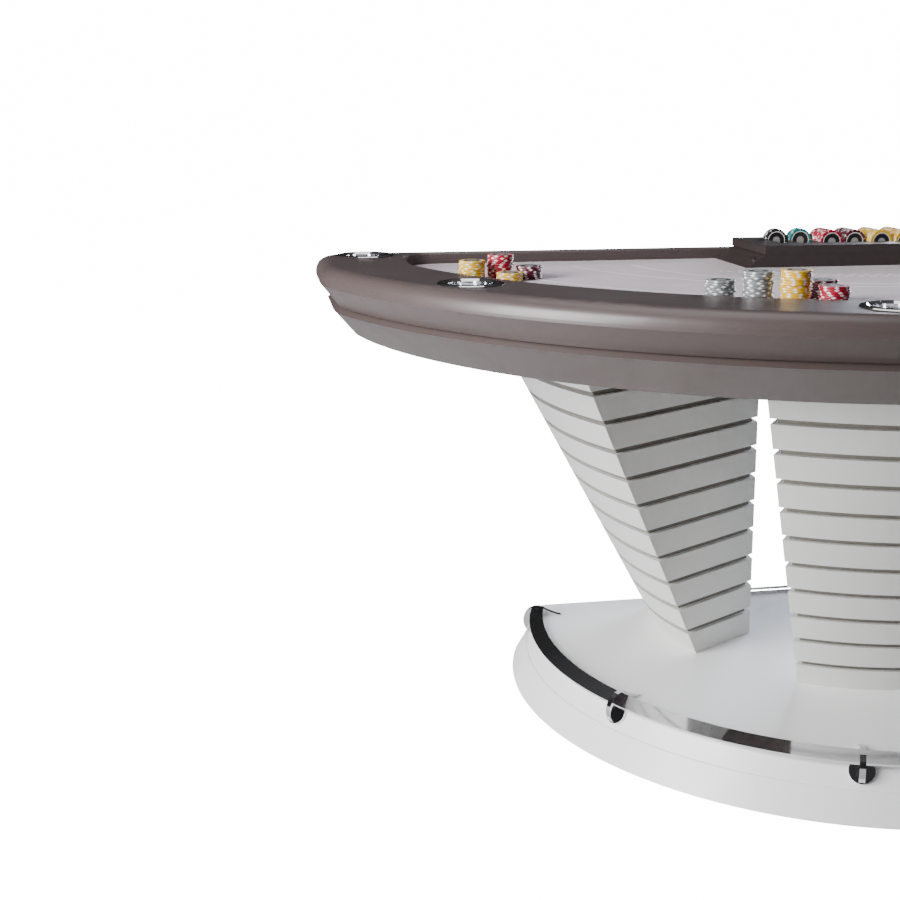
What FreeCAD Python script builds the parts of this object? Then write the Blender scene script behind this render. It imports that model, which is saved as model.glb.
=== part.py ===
"""Half-round casino card table on a D-shaped plinth with three slatted wedge legs.

Frame: +Z up, origin on the floor under the middle of the bounding box, players at -Y,
dealer at +Y. Millimetres. Plan places called "from the edge" are measured from the
dealer's straight edge of the table top, so the players' side is negative.
"""
import FreeCAD
import Part
import math
import os
from FreeCAD import Vector

# ---- overall ----
table_height = 756.0          # floor to the flat of the arm rail
top_radius = 975.0            # reach of the arm rail from the centre of the round front
top_setback = 25.0            # centre of the round front, behind the dealer's edge
top_corner = 66.0             # rounded back corners of the top
side_cut = 39.0               # straight ends of the top, inside the round of the front
side_blend = 300.0            # rounding between the front and a straight end

# ---- edge of the top, from the flat downwards ----
shoulder_radius = 24.0        # rounding along the rim of the arm rail
shoulder_drop = 28.0          # flat of the rail to where the band starts to lean in
band_drop = 62.0              # flat of the rail to the foot of the upper band
band_lean = 27.0
fascia_lip_drop = 8.0         # bevel on top of the lower fascia
fascia_lip_inset = 33.0
fascia_edge_inset = 19.5
fascia_drop = 125.0           # flat of the rail to the underside of the top
fascia_lean = 88.0
foot_cut = 11.0               # straight ends at the foot of the lower fascia
fascia_wall = 22.0
back_lean = 0.25              # the dealer's side leans this share of the front
soft_corner = 40.0            # back corners of the leaning pieces

# ---- playing field ----
rail_width = 145.0            # flat of the arm rail, rim to field
field_blend = 155.0
field_corner = 50.0
dealer_rim = 42.0             # width of the flat rim along the dealer's edge
field_depth = 18.0            # cloth below the flat of the rail
rail_chamfer = 2.5
cloth_thickness = 2.0
foam_thickness = 3.0
board_thickness = 18.0
board_inset = 38.0
layer_gap = 0.5

# ---- inside of the top ----
panel_thickness = 12.0
frame_inset = 185.0
frame_back_inset = 46.0
frame_wall = 22.0
beam_width = 40.0
beam_back = 430.0             # cross beam, in front of the dealer's edge
screw_inset = 106.0           # screws that hold the rail, in from the rim
screw_count = 14
screw_spread = 158.0          # degrees of arc that the screws share
screw_radius = 2.5
screw_head = 5.0
screw_length = 34.0

# ---- cup holders: a pair on the straight ends, and pairs round the front ----
end_cup_inset = 83.0          # in from the straight end
end_cup_setback = 67.0        # in front of the dealer's edge
round_cups = ((54.93, 73.4), (16.42, 83.6))   # degrees from the front, in from the rim
cup_radius = 38.0
cup_foot_radius = 34.0
cup_flange_radius = 48.5
cup_flange_height = 2.6
cup_depth = 58.0
cup_wall = 1.5
cup_clearance = 0.4
lift_gap = 0.3                # under pieces that only rest in their places

# ---- chip float (dealer's tray) ----
chip_radius = 20.5
chip_thickness = 3.3
tube_count = 7
tube_pitch = 42.8
tube_radius = 20.9
tube_floor = 3.0
float_rise = 18.0             # top of the float frame above the flat of the rail
float_flange = 47.0
float_flange_height = 14.0
float_front = -212.0
float_back = -43.0
float_back_strip = 17.0
float_skirt_splay = 32.0
float_skirt_wall = 12.0
float_clearance = 0.5
chip_axis_drop = 3.0          # axis of the chips below the top of the float frame
tube_stop = 2.5               # end wall of each trough
lock_radius = 4.5
lock_height = 2.0
lock_drop = 10.0              # centre of the lock below the foot of the frame's flange
lock_setback = 20.0           # lock behind the frame's front face
# chips in each tube, pushed up to the dealer's end
tube_loads = (5, 6, 18, 18, 23, 25, 22)
tube_names = ("black", "teal", "red", "plum", "yellow", "gold", "orange")

# ---- chips on the cloth: name, from the centre line, from the edge, count, sway ----
stacks = (
    ("stack_yellow_left", -705.0, -290.0, 9, 0.8),
    ("stack_red_left", -657.0, -270.0, 11, 1.6),
    ("stack_yellow_short", -650.0, -318.0, 4, 0.7),
    ("stack_plum_left", -615.0, -291.0, 6, 0.7),
    ("stack_grey_short", -417.0, -632.0, 10, 0.8),
    ("stack_grey_tall", -372.0, -655.0, 14, 1.8),
    ("stack_yellow_tall", -327.0, -678.0, 15, 1.7),
    ("stack_plum_right", -270.0, -632.0, 9, 0.8),
    ("stack_red_short", -280.0, -697.0, 9, 1.2),
)

# ---- plinth: centre and outlines about it ----
plinth_setback = -192.0       # centre of the plinth's arc, from the edge
plinth_height = 90.0
plinth_lift = 6.0             # floor gap under the skirt
plinth_crease = 50.0
plinth_foot_radius = 614.0
plinth_crease_radius = 589.5
plinth_step = 2.5
plinth_top_radius = 566.0
plinth_back_top = -3.0        # back edge of the plinth's top, from the dealer's edge
plinth_back_foot = 12.0
plinth_corner = 10.0
plinth_wall = 22.0
lid_thickness = 18.0
cross_width = 60.0
cross_front = -330.0
cross_reach = 470.0

# ---- levelling feet: (distance from the centre line, from the edge) ----
foot_places = ((0.0, -710.0), (440.0, -450.0), (-440.0, -450.0), (480.0, -80.0), (-480.0, -80.0))
foot_pad_radius = 30.0
foot_pad_height = 8.0
foot_stem_radius = 6.0
foot_stem_top = 60.0
foot_fit = 0.05
socket_radius = 22.0
socket_bottom = 30.0

# ---- legs ----
leg_setback = -155.0          # centre of the round outer faces, from the edge
leg_foot_reach = 350.0        # outer face at the plinth
leg_head_reach = 640.0        # outer face under the top
front_leg_half_angle = 34.7
front_leg_inner = 190.0       # inner face, in front of the centre
side_leg_inner = 199.0        # inner face, from the centre line
side_leg_corner = -213.0      # front inner corner, from the edge
side_leg_angle = 32.3         # front side of a side leg, forward of sideways
side_leg_back = -46.0
board_count = 11
groove_height = 9.0
groove_depth = 9.0
carcass_wall = 18.0
plate_thickness = 8.0
bolt_radius = 5.0
bolt_head_radius = 8.5
bolt_head_height = 7.0
bolt_inset = 46.0
bolt_clearance = 0.3

# ---- foot rail ----
strip_overlap = 7.0           # inner edge of the strip, inboard of the plinth's top edge
strip_reach = 24.0            # width of the strip in plan
strip_rise = 10.0             # inner edge of the strip above the plinth's top
strip_fall = 10.0             # outer edge of the strip below its inner edge
strip_thickness = 4.0
strip_joint = 16.6            # degrees from the front to the joints in the strip
strip_end = 105.2
strip_joint_gap = 0.6
bracket_angles = (21.7, 61.7, 104.0)
bracket_width = 9.0
bracket_bulge = 12.1          # furthest reach of a bracket past the strip
bracket_slot = 0.2
rosette_radius = 19.0
rosette_thickness = 4.0
rosette_drop = 16.0
rosette_cut = 6.5
dealer_strip_half = 230.0
dealer_bracket_x = 214.0

# ---- places worked out from the sizes above ----
field_radius = top_radius - rail_width
screw_ring = top_radius - screw_inset
end_cup_x = top_radius - side_cut - end_cup_inset
bracket_reach = strip_reach - strip_overlap + bracket_bulge
back_reach = plinth_back_top + bracket_reach
front_reach = top_radius - top_setback
edge_y = (front_reach - back_reach) / 2.0
top_centre_y = edge_y + top_setback
plinth_centre_y = edge_y + plinth_setback
leg_centre_y = edge_y + leg_setback
rail_z = table_height
shoulder_z = rail_z - shoulder_drop
band_z = rail_z - band_drop
lip_z = band_z - fascia_lip_drop
underside_z = rail_z - fascia_drop
cloth_z = rail_z - field_depth
foam_z = cloth_z - cloth_thickness
board_z = foam_z - foam_thickness
board_bottom_z = board_z - board_thickness
panel_z = underside_z + panel_thickness
float_top_z = rail_z + float_rise
leg_height = underside_z - plinth_height
board_pitch = leg_height / board_count
UP = Vector(0, 0, 1)


def d_wire(radius, centre_y, back_y, corner, z):
    """Closed D: a round front, two rounded back corners and a straight back."""
    corner_y = back_y - corner
    corner_x = math.sqrt((radius - corner) ** 2 - (corner_y - centre_y) ** 2)
    scale = radius / (radius - corner)
    meet = Vector(corner_x * scale, centre_y + (corner_y - centre_y) * scale, z)
    turn = (math.atan2(corner_y - centre_y, corner_x) + math.pi / 2) / 2
    bend = Vector(corner_x + corner * math.cos(turn), corner_y + corner * math.sin(turn), z)
    end = Vector(corner_x, back_y, z)
    front = Vector(0, centre_y - radius, z)
    edges = [
        Part.Arc(flip(meet), front, meet).toShape(),
        Part.Arc(meet, bend, end).toShape(),
        Part.LineSegment(end, flip(end)).toShape(),
        Part.Arc(flip(end), flip(bend), flip(meet)).toShape(),
    ]
    return Part.Wire(edges)


def flip(point):
    """The same point on the other side of the centre line."""
    return Vector(-point.x, point.y, point.z)


def slab(wire, height):
    return Part.Face(wire).extrude(Vector(0, 0, height))


def loft(wires):
    return Part.makeLoft(wires, True, True)


def cylinder(radius, height, x, y, z):
    return Part.makeCylinder(radius, height, Vector(x, y, z), UP)


def box(x0, x1, y0, y1, z0, z1):
    return Part.makeBox(x1 - x0, y1 - y0, z1 - z0, Vector(x0, y0, z0))


def turned(points, x, y):
    """Solid of revolution about the vertical line through x, y from (radius, z) points."""
    corners = [Vector(x + radius, y, z) for radius, z in points]
    face = Part.Face(Part.makePolygon(corners + corners[:1]))
    return face.revolve(Vector(x, y, 0), UP, 360)


def save(name, solids):
    """Write one node; a list becomes a group of separate solids."""
    if isinstance(solids, (list, tuple)):
        shape = Part.makeCompound(list(solids))
    else:
        shape = solids
    shape.exportStep("parts/%s.step" % name)


# ---------------------------------------------------------------- table top
def cut_wire(radius, cut, blend, back_y, corner, z):
    """Closed D with straight ends: round front, blend, straight end, rounded corner, back."""
    side = radius - cut
    blend_x = side - blend
    blend_y = top_centre_y - math.sqrt((radius - blend) ** 2 - blend_x ** 2)
    scale = radius / (radius - blend)
    meet = Vector(blend_x * scale, top_centre_y + (blend_y - top_centre_y) * scale, z)
    turn = math.atan2(blend_y - top_centre_y, blend_x) / 2
    bend = Vector(blend_x + blend * math.cos(turn), blend_y + blend * math.sin(turn), z)
    low = Vector(side, blend_y, z)
    high = Vector(side, back_y - corner, z)
    slack = corner * (1 - math.sqrt(0.5))
    knee = Vector(side - slack, back_y - slack, z)
    end = Vector(side - corner, back_y, z)
    front = Vector(0, top_centre_y - radius, z)
    edges = [
        Part.Arc(flip(meet), front, meet).toShape(),
        Part.Arc(meet, bend, low).toShape(),
        Part.LineSegment(low, high).toShape(),
        Part.Arc(high, knee, end).toShape(),
        Part.LineSegment(end, flip(end)).toShape(),
        Part.Arc(flip(end), flip(knee), flip(high)).toShape(),
        Part.LineSegment(flip(high), flip(low)).toShape(),
        Part.Arc(flip(low), flip(bend), flip(meet)).toShape(),
    ]
    return Part.Wire(edges)


def top_wire(inset, z, corner, back=None, cut=side_cut):
    """Outline of the top, moved in by inset at the front and by back at the dealer's side."""
    back_inset = inset * back_lean if back is None else back
    return cut_wire(top_radius - inset, cut, side_blend - inset, edge_y - back_inset, corner, z)


def field_wire(grow, z):
    """Outline of the playing field, larger by grow."""
    back_y = edge_y - dealer_rim + grow
    return cut_wire(field_radius + grow, side_cut, field_blend + grow, back_y, field_corner + grow, z)


def cup_places():
    """Centres of all cup holders, left side first."""
    right = [(end_cup_x, edge_y - end_cup_setback)]
    for degrees, inset in round_cups:
        angle = math.radians(degrees)
        reach = top_radius - inset
        right.append((reach * math.sin(angle), top_centre_y - reach * math.cos(angle)))
    return [(-x, y) for x, y in right] + right[::-1]


def cup_bores(z0, z1):
    radius = cup_radius + cup_clearance
    return [cylinder(radius, z1 - z0, x, y, z0) for x, y in cup_places()]


def screw_places():
    """Rail screws, evenly spread round the front and kept off the cup holders."""
    keep_off = cup_radius + cup_clearance + screw_head
    places = []
    for index in range(screw_count):
        angle = math.radians(-90 + screw_spread * (index / (screw_count - 1.0) - 0.5))
        x = screw_ring * math.cos(angle)
        y = top_centre_y + screw_ring * math.sin(angle)
        clear = min(math.hypot(x - cx, y - cy) for cx, cy in cup_places())
        if clear > keep_off:
            places.append((x, y))
    return places


def arm_rail():
    cap = slab(top_wire(0, shoulder_z, top_corner), shoulder_drop)
    rim = [edge for edge in cap.Edges if edge.BoundBox.ZMin > rail_z - 0.01]
    cap = cap.makeFillet(shoulder_radius, rim)
    band = loft([top_wire(0, shoulder_z, top_corner), top_wire(band_lean, band_z, soft_corner)])
    pocket = slab(top_wire(board_inset, band_z - 1, soft_corner, board_inset / 2), board_z - band_z + 1)
    field = slab(field_wire(0, board_z - 1), rail_z - board_z + 2)
    easing = loft([field_wire(0, rail_z - rail_chamfer), field_wire(2 * rail_chamfer, rail_z + rail_chamfer)])
    rail = cap.fuse(band).cut(pocket).cut(field).cut(easing)
    rail = rail.cut(Part.makeCompound(cup_bores(band_z - 1, rail_z + 1)))
    holes = [cylinder(screw_radius, screw_length, x, y, board_z - 1) for x, y in screw_places()]
    return rail.cut(Part.makeCompound(trim_to(holes, screw_top_z()))).removeSplitter()


def screw_top_z():
    return board_bottom_z - 1 + screw_length


def trim_to(solids, top_z):
    """Holes cut off at the height where the screws end."""
    limit = box(-2 * top_radius, 2 * top_radius, -2 * top_radius, 2 * top_radius, 0, top_z)
    return [solid.common(limit) for solid in solids]


def lower_fascia():
    foot = top_wire(fascia_lean, underside_z, soft_corner, cut=foot_cut)
    edge = top_wire(fascia_edge_inset, lip_z, soft_corner)
    lip = top_wire(fascia_lip_inset, band_z, soft_corner)
    body = loft([foot, edge]).fuse(loft([edge, lip]))
    pocket = slab(panel_wire(underside_z - 1, 0), band_z - underside_z + 2)
    return body.cut(pocket).removeSplitter()


def panel_wire(z, gap):
    inset = fascia_lean + fascia_wall + gap
    back = fascia_lean * back_lean + fascia_wall + gap
    return top_wire(inset, z, soft_corner / 2, back, foot_cut)


def playing_board():
    wire = top_wire(board_inset + layer_gap, board_bottom_z, soft_corner, board_inset / 2 + layer_gap)
    board = slab(wire, board_thickness)
    holes = [cylinder(screw_radius, board_thickness + 2, x, y, board_bottom_z - 1) for x, y in screw_places()]
    return board.cut(Part.makeCompound(cup_bores(board_bottom_z - 1, board_z + 1) + holes))


def rail_screws():
    screws = []
    for x, y in screw_places():
        head = cylinder(screw_head, 3, x, y, board_bottom_z - 3)
        shank = cylinder(screw_radius, screw_top_z() - board_bottom_z, x, y, board_bottom_z)
        screws.append(head.fuse(shank))
    return screws


def underside_panel():
    panel = slab(panel_wire(underside_z, layer_gap), panel_thickness)
    radius = bolt_radius + bolt_clearance
    bores = [cylinder(radius, panel_thickness + 2, p.x, p.y, underside_z - 1) for p in head_bolt_places()]
    return panel.cut(Part.makeCompound(bores))


def top_frame():
    height = board_bottom_z - panel_z
    back = frame_back_inset
    outer = slab(top_wire(frame_inset, panel_z, soft_corner, back), height)
    inner_wire = top_wire(frame_inset + frame_wall, panel_z, soft_corner / 2, back + frame_wall)
    inner = slab(inner_wire, height)
    half = beam_width / 2
    cross_y = edge_y - beam_back
    cross = box(-top_radius, top_radius, cross_y - half, cross_y + half, panel_z, board_bottom_z)
    spine = box(-half, half, cross_y - top_radius, edge_y, panel_z, board_bottom_z)
    beams = cross.fuse(spine).common(inner)
    return outer.cut(inner).fuse(beams).removeSplitter()


def cup_holder(x, y):
    """Spun steel cup with a rolled flange that hangs on the rail."""
    seat = rail_z + lift_gap
    top = seat + cup_flange_height
    foot = rail_z - cup_depth
    rim = cup_radius - cup_wall - 1.2
    outline = [
        (0, foot), (cup_foot_radius - 3, foot), (cup_foot_radius, foot + 3), (cup_radius, seat),
        (cup_flange_radius - 1, seat), (cup_flange_radius, seat + 0.8), (cup_flange_radius - 1.6, top - 0.5),
        (cup_flange_radius - 4, top), (cup_radius + 1, top), (rim, seat - 0.8),
        (cup_foot_radius - cup_wall, foot + 4), (cup_foot_radius - cup_wall - 3, foot + cup_wall),
        (0, foot + cup_wall),
    ]
    return turned(outline, x, y)


# ---------------------------------------------------------------- chip float
def float_reach():
    """Half of the float's opening across the tubes."""
    return tube_count * tube_pitch / 2.0 + 0.6


def float_frame():
    half = float_reach() + float_flange
    front = edge_y + float_front
    back = edge_y + float_back
    flange_z = float_top_z - float_flange_height
    flange = box(-half, half, front, back, flange_z, float_top_z)
    skirt = splayed_box(half - 4, half + float_skirt_splay, front + 0.5, back, flange_z)
    wall = float_skirt_wall
    reach = float_reach()
    hollow = splayed_box(half - 4 - wall, half + float_skirt_splay - wall, front + wall, back - wall, flange_z)
    opening = box(-reach, reach, float_mouth_front(), float_mouth_back(), cloth_z, float_top_z + 1)
    body = flange.fuse(skirt.cut(hollow)).cut(opening)
    rim = [edge for edge in body.Edges if edge.BoundBox.ZMin > float_top_z - 0.01]
    return body.makeChamfer(1.2, rim)


def float_mouth_front():
    return edge_y + float_front + float_flange


def float_mouth_back():
    return edge_y + float_back - float_back_strip


def splayed_box(half_top, half_foot, front, back, top_z):
    """Box whose ends spread outwards down to the cloth."""
    top = rectangle(half_top, front, back, top_z)
    foot = rectangle(half_foot, front, back, cloth_z)
    return loft([foot, top])


def rectangle(half, front, back, z):
    corners = [Vector(-half, front, z), Vector(half, front, z), Vector(half, back, z), Vector(-half, back, z)]
    return Part.makePolygon(corners + corners[:1])


def chip_axis_z():
    return float_top_z - chip_axis_drop


def tube_x(index):
    return (index - (tube_count - 1) / 2.0) * tube_pitch


def float_insert():
    """Moulded insert with half-round troughs and a stop at each end."""
    gap = float_clearance
    reach = float_reach() - gap
    front = float_mouth_front() + gap
    back = float_mouth_back() - gap
    floor_z = chip_axis_z() - tube_radius - tube_floor
    body = box(-reach, reach, front, back, floor_z, chip_axis_z())
    length = back - front - 2 * tube_stop
    for index in range(tube_count):
        start = Vector(tube_x(index), front + tube_stop, chip_axis_z())
        body = body.cut(Part.makeCylinder(tube_radius, length, start, Vector(0, 1, 0)))
    return body


def float_ledges():
    """Bearers on the cloth that carry the insert inside the frame."""
    top = chip_axis_z() - tube_radius - tube_floor - lift_gap
    reach = float_reach() - float_clearance
    width = 14.0
    front = float_mouth_front() + 4
    back = float_mouth_back() - 4
    return [box(side * reach - width / 2 - side * 12, side * reach + width / 2 - side * 12, front, back, cloth_z, top)
            for side in (-1, 1)]


def tube_chips(index):
    """Row of chips on edge in one tube, the first against the dealer's end."""
    back = float_mouth_back() - float_clearance - tube_stop - 0.3
    x = tube_x(index)
    z = chip_axis_z() - (tube_radius - chip_radius)
    chips = []
    for place in range(tube_loads[index]):
        start = Vector(x, back - place * chip_thickness, z)
        chips.append(Part.makeCylinder(chip_radius, chip_thickness, start, Vector(0, -1, 0)))
    return chips


def float_lock():
    """Small barrel lock through the left sloping end of the frame."""
    slope = math.atan2(float_skirt_splay + 4, float_top_z - float_flange_height - cloth_z)
    z = float_top_z - float_flange_height - lock_drop
    x = float_reach() + float_flange - 4 + lock_drop * math.tan(slope)
    base = Vector(-x, edge_y + float_front + lock_setback, z)
    out = Vector(-math.cos(slope), 0, math.sin(slope))
    return Part.makeCylinder(lock_radius, lock_height, base, out)


def chip_stack(x, y, count, sway):
    """Loose chips on the cloth, each a little off the one below."""
    chips = []
    z = cloth_z + lift_gap
    for place in range(count):
        lean_x = x + sway * math.sin(1.7 * place + x)
        lean_y = edge_y + y + sway * math.cos(2.3 * place + y)
        chips.append(cylinder(chip_radius, chip_thickness, lean_x, lean_y, z + place * chip_thickness))
    return chips


# ---------------------------------------------------------------- legs
def side_line(point, direction):
    return (point, direction.normalize())


def front_leg():
    """Sides run out from the centre; the inner face is square to the centre line."""
    angle = math.radians(front_leg_half_angle)
    centre = Vector(0, leg_centre_y, 0)
    left = side_line(centre, Vector(-math.sin(angle), -math.cos(angle), 0))
    right = side_line(centre, Vector(math.sin(angle), -math.cos(angle), 0))
    inner = side_line(centre - Vector(0, front_leg_inner, 0), Vector(1, 0, 0))
    middle = centre - Vector(0, (front_leg_inner + leg_foot_reach) / 2, 0)
    return {"sides": (left, right), "inner": inner, "middle": middle}


def left_leg():
    """Straight back, slanted front and an inner face square to the dealer's edge."""
    angle = math.radians(side_leg_angle)
    corner = Vector(-side_leg_inner, edge_y + side_leg_corner, 0)
    front = side_line(corner, Vector(-math.cos(angle), -math.sin(angle), 0))
    back = side_line(Vector(-side_leg_inner, edge_y + side_leg_back, 0), Vector(-1, 0, 0))
    inner = side_line(corner, Vector(0, 1, 0))
    middle = Vector(-(side_leg_inner + leg_foot_reach) / 2, edge_y + (side_leg_corner + side_leg_back) / 2, 0)
    return {"sides": (back, front), "inner": inner, "middle": middle}


def moved_in(line, middle, inset):
    """A side line shifted towards the middle of the leg."""
    point, direction = line
    normal = Vector(-direction.y, direction.x, 0)
    if normal.dot(middle - point) < 0:
        normal = normal * -1
    return (point + normal * inset, direction)


def cross_point(first, second):
    p, u = first
    q, v = second
    along = ((q.x - p.x) * v.y - (q.y - p.y) * v.x) / (u.x * v.y - u.y * v.x)
    return p + u * along


def reach_point(line, radius):
    """Where a side meets the round outer face."""
    point, direction = line
    offset = point - Vector(0, leg_centre_y, 0)
    half = offset.dot(direction)
    root = math.sqrt(half * half - offset.dot(offset) + radius * radius)
    return point + direction * (root - half)


def leg_corners(leg, radius, inset):
    """Four corners of a leg's section: inner, outer, outer, inner."""
    sides = [moved_in(line, leg["middle"], inset) for line in leg["sides"]]
    inner = moved_in(leg["inner"], leg["middle"], inset)
    outer = radius - inset
    return [cross_point(sides[0], inner), reach_point(sides[0], outer),
            reach_point(sides[1], outer), cross_point(sides[1], inner)]


def leg_radius(z):
    share = (z - plinth_height) / leg_height
    return leg_foot_reach + (leg_head_reach - leg_foot_reach) * share


def leg_edges(leg, inset, z):
    """The four edges of a leg's section in order: side, round outer face, side, inner face."""
    corners = [point + Vector(0, 0, z) for point in leg_corners(leg, leg_radius(z), inset)]
    centre = Vector(0, leg_centre_y, z)
    toward = (corners[1] + corners[2]) * 0.5 - centre
    bow = centre + toward.normalize() * (leg_radius(z) - inset)
    return [
        Part.LineSegment(corners[0], corners[1]),
        Part.Arc(corners[1], bow, corners[2]),
        Part.LineSegment(corners[2], corners[3]),
        Part.LineSegment(corners[3], corners[0]),
    ]


def panel_section(leg, side, outer_inset, inner_inset, z):
    """Outline of the panel on one side of a leg, mitred into its neighbours."""
    outer = leg_edges(leg, outer_inset, z)[side]
    inner = leg_edges(leg, inner_inset, z)[side]
    first = outer.value(outer.FirstParameter)
    last = outer.value(outer.LastParameter)
    inner_first = inner.value(inner.FirstParameter)
    inner_last = inner.value(inner.LastParameter)
    edges = [
        outer.toShape(),
        Part.LineSegment(last, inner_last).toShape(),
        inner.toShape(),
        Part.LineSegment(inner_first, first).toShape(),
    ]
    return Part.Wire(Part.__sortEdges__(edges))


def leg_panels(leg, outer_inset, inner_inset, levels):
    """Four mitred panels that close a ring round a leg between the first and last level."""
    panels = []
    for side in range(4):
        panels.append(loft([panel_section(leg, side, outer_inset, inner_inset, z) for z in levels]))
    return panels


def leg_boards(leg):
    """Courses of mitred boards round the carcass with a groove over each."""
    boards = []
    for index in range(board_count):
        z0 = plinth_height + index * board_pitch
        boards += leg_panels(leg, 0, groove_depth, [z0, z0 + board_pitch - groove_height])
    return boards


def leg_carcass(leg):
    levels = [plinth_height + index * board_pitch for index in range(board_count + 1)]
    return leg_panels(leg, groove_depth, groove_depth + carcass_wall, levels)


def leg_plate(leg, z):
    """Steel plate inside one end of the carcass, drilled for the bolts."""
    inset = groove_depth + carcass_wall + 0.3
    wires = [Part.Wire([edge.toShape() for edge in leg_edges(leg, inset, level)])
             for level in (z, z + plate_thickness)]
    plate = loft(wires)
    radius = bolt_radius + bolt_clearance
    end_z = plinth_height if z < table_height / 2 else underside_z
    bores = [cylinder(radius, plate_thickness + 2, p.x, p.y, z - 1) for p in leg_bolts(leg, end_z)]
    return plate.cut(Part.makeCompound(bores))


def leg_bolts(leg, z):
    return leg_corners(leg, leg_radius(z), bolt_inset)


def all_bolts(z):
    places = leg_bolts(front_leg(), z) + leg_bolts(left_leg(), z)
    return places + [flip(point) for point in leg_bolts(left_leg(), z)]


def head_bolt_places():
    return all_bolts(underside_z)


def foot_bolt_places():
    return all_bolts(plinth_height)


def mirrored(shape):
    return shape.mirror(Vector(0, 0, 0), Vector(1, 0, 0))


def bolts_down(places, seat_z, length):
    """Hexagon bolts with the head above the seat."""
    return [hex_head(p, seat_z).fuse(cylinder(bolt_radius, length, p.x, p.y, seat_z - length)) for p in places]


def bolts_up(places, seat_z, length):
    """Hexagon bolts with the head below the seat."""
    bolts = []
    for p in places:
        head = hex_head(p, seat_z - bolt_head_height)
        bolts.append(head.fuse(cylinder(bolt_radius, length, p.x, p.y, seat_z)))
    return bolts


def hex_head(point, z):
    corners = []
    for index in range(7):
        angle = math.radians(60 * index)
        corners.append(Vector(point.x + bolt_head_radius * math.cos(angle),
                              point.y + bolt_head_radius * math.sin(angle), z))
    return slab(Part.makePolygon(corners), bolt_head_height)


# ---------------------------------------------------------------- plinth
def plinth_back(z):
    share = (z - plinth_lift) / (plinth_height - plinth_lift)
    return edge_y + plinth_back_foot + (plinth_back_top - plinth_back_foot) * share


def plinth_wire(radius, z, inset=0.0):
    return d_wire(radius - inset, plinth_centre_y, plinth_back(z) - inset, plinth_corner, z)


def plinth_skirt():
    outer = loft([plinth_wire(plinth_foot_radius, plinth_lift), plinth_wire(plinth_crease_radius, plinth_crease)])
    wire = plinth_wire(plinth_crease_radius, plinth_crease, plinth_wall)
    hollow = slab(wire, -plinth_crease)
    return outer.cut(hollow)


def plinth_lid():
    shoulder = plinth_crease_radius - plinth_step
    outer = loft([plinth_wire(shoulder, plinth_crease), plinth_wire(plinth_top_radius, plinth_height)])
    wire = plinth_wire(plinth_top_radius, plinth_height, plinth_wall)
    hollow = slab(wire, -plinth_height).common(
        box(-top_radius, top_radius, -top_radius, top_radius, 0, plinth_height - lid_thickness))
    radius = bolt_radius + bolt_clearance
    bores = [cylinder(radius, lid_thickness + 2, p.x, p.y, plinth_height - lid_thickness - 1)
             for p in foot_bolt_places()]
    return outer.cut(hollow).cut(Part.makeCompound(bores))


def plinth_cross():
    """Cross of timber bearers glued under the lid."""
    top = plinth_height - lid_thickness
    half = cross_width / 2
    y = edge_y + cross_front
    across = box(-cross_reach, cross_reach, y - half, y + half, plinth_lift + 4, top)
    front = plinth_centre_y - plinth_top_radius + 3 * plinth_wall + foot_pad_radius + cross_width
    along = box(-half, half, front, edge_y - cross_width, plinth_lift + 4, top)
    return across.fuse(along).removeSplitter()


def levelling_foot(x, y):
    pad = cylinder(foot_pad_radius, foot_pad_height, x, y, 0)
    rim = [edge for edge in pad.Edges if edge.BoundBox.ZMin > foot_pad_height - 0.01]
    pad = pad.makeChamfer(3, rim)
    return pad.fuse(cylinder(foot_stem_radius, foot_stem_top - foot_pad_height, x, y, foot_pad_height))


def foot_socket(x, y):
    height = plinth_height - lid_thickness - socket_bottom
    block = cylinder(socket_radius, height, x, y, socket_bottom)
    return block.cut(cylinder(foot_stem_radius + foot_fit, height + 2, x, y, socket_bottom - 1))


# ---------------------------------------------------------------- foot rail
def strip_section(gap):
    """Tilted flat strip as (out from the plinth's top edge, above its top) points."""
    inner = (-strip_overlap, strip_rise)
    outer = (strip_reach - strip_overlap, strip_rise - strip_fall)
    length = math.hypot(strip_reach, strip_fall)
    along = (strip_reach / length, -strip_fall / length)
    down = (-strip_fall / length, -strip_reach / length)
    thick = strip_thickness
    lift = (-down[0] * gap, -down[1] * gap)
    a = (inner[0] - along[0] * gap + lift[0], inner[1] - along[1] * gap + lift[1])
    b = (outer[0] + along[0] * gap + lift[0], outer[1] + along[1] * gap + lift[1])
    deep = thick + 2 * gap
    c = (b[0] + down[0] * deep, b[1] + down[1] * deep)
    d = (a[0] + down[0] * deep, a[1] + down[1] * deep)
    return [a, b, c, d]


def section_face(points):
    """Face standing in the plane x = 0, with out along +Y."""
    corners = [Vector(0, out, plinth_height + up) for out, up in points]
    return Part.Face(Part.makePolygon(corners + corners[:1]))


def swept_strip(start, end):
    """Strip along the round of the plinth, between two angles from the front."""
    face = section_face(strip_section(0))
    face.translate(Vector(0, plinth_centre_y + plinth_top_radius, 0))
    centre = Vector(0, plinth_centre_y, 0)
    face.rotate(centre, UP, 180 - start)
    return face.revolve(centre, UP, start - end)


def dealer_strip():
    face = section_face(strip_section(0))
    face.translate(Vector(-dealer_strip_half, edge_y + plinth_back_top, 0))
    return face.extrude(Vector(2 * dealer_strip_half, 0, 0))


def side_slope(back):
    """How far the plinth's side moves out for each millimetre down."""
    if back:
        return (plinth_back_foot - plinth_back_top) / (plinth_height - plinth_lift)
    shoulder = plinth_crease_radius - plinth_step
    return (shoulder - plinth_top_radius) / (plinth_height - plinth_crease)


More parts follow.
